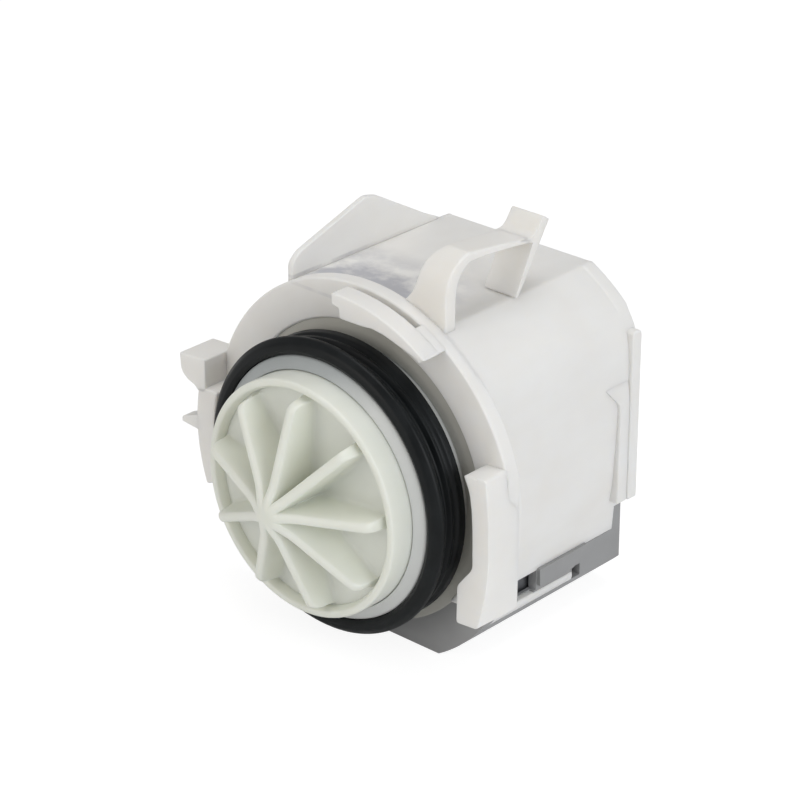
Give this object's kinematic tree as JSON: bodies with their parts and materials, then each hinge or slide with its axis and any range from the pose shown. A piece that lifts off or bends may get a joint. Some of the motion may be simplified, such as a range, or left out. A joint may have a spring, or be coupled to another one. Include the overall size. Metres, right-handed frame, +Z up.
{
  "type": "drain pump",
  "caption": "Bayonet-mounted drain pump: open vaned impeller, lip-sealed neck, lugged motor housing with release arm and clipped base.",
  "frame": {"origin": "on the pump axis, in the front face of the bayonet collar", "axes": "+Y along the pump axis away from the impeller, +Z up, the part resting on its base"},
  "size_m": [0.0844, 0.075, 0.0841],
  "materials": {
    "white_plastic": "fine moulded satin",
    "grey_plastic": "fine moulded satin",
    "neck_plastic": "smooth satin",
    "impeller_plastic": "smooth satin",
    "seal_rubber": "smooth with a soft sheen",
    "tinned_brass": "bright",
    "ceramic": "polished",
    "steel": "ground",
    "washer_plastic": "satin",
    "ferrite": "ground",
    "lamination": "stamped, lightly oiled",
    "bobbin_plastic": "moulded satin",
    "copper_wire": "enamelled"
  },
  "bodies": {
    "root": {"motor_housing": "white_plastic", "base_cover": "grey_plastic", "connector_socket": "grey_plastic", "terminal_blades": "tinned_brass", "rotor_can": "neck_plastic", "seal_ring": "seal_rubber", "bearing_holder": "neck_plastic", "holder_gasket": "seal_rubber", "front_bearing": "ceramic", "front_bearing_damper": "seal_rubber", "rear_bearing": "ceramic", "rear_bearing_damper": "seal_rubber", "stator_core": "lamination", "core_rivets": "steel", "upper_bobbin": "bobbin_plastic", "lower_bobbin": "bobbin_plastic", "upper_coil": "copper_wire", "lower_coil": "copper_wire", "thermal_fuse": "white_plastic"},
    "rotor": {"impeller": "impeller_plastic", "rotor_shaft": "steel", "front_thrust_washer": "washer_plastic", "rear_thrust_washer": "washer_plastic", "drive_dog": "impeller_plastic"},
    "magnet": {"magnet_sleeve": "impeller_plastic", "rotor_magnet": "ferrite"},
    "latch": {"release_latch": "white_plastic"}
  },
  "joints": [
    {"name": "impeller_spin", "type": "hinge", "parent": "root", "child": "rotor", "pos_m": [0, 0, 0], "axis": [0, 1, 0], "continuous": true},
    {"name": "magnet_free_turn", "type": "hinge", "parent": "rotor", "child": "magnet", "pos_m": [0, 0, 0], "axis": [0, 1, 0], "range_deg": [-115, 115]},
    {"name": "latch_bend", "type": "hinge", "parent": "root", "child": "latch", "pos_m": [0, 0.0044, 0.0378], "axis": [1, 0, 0], "range_deg": [-0.5, 6], "stiffness_Nm_per_rad": 1}
  ]
}
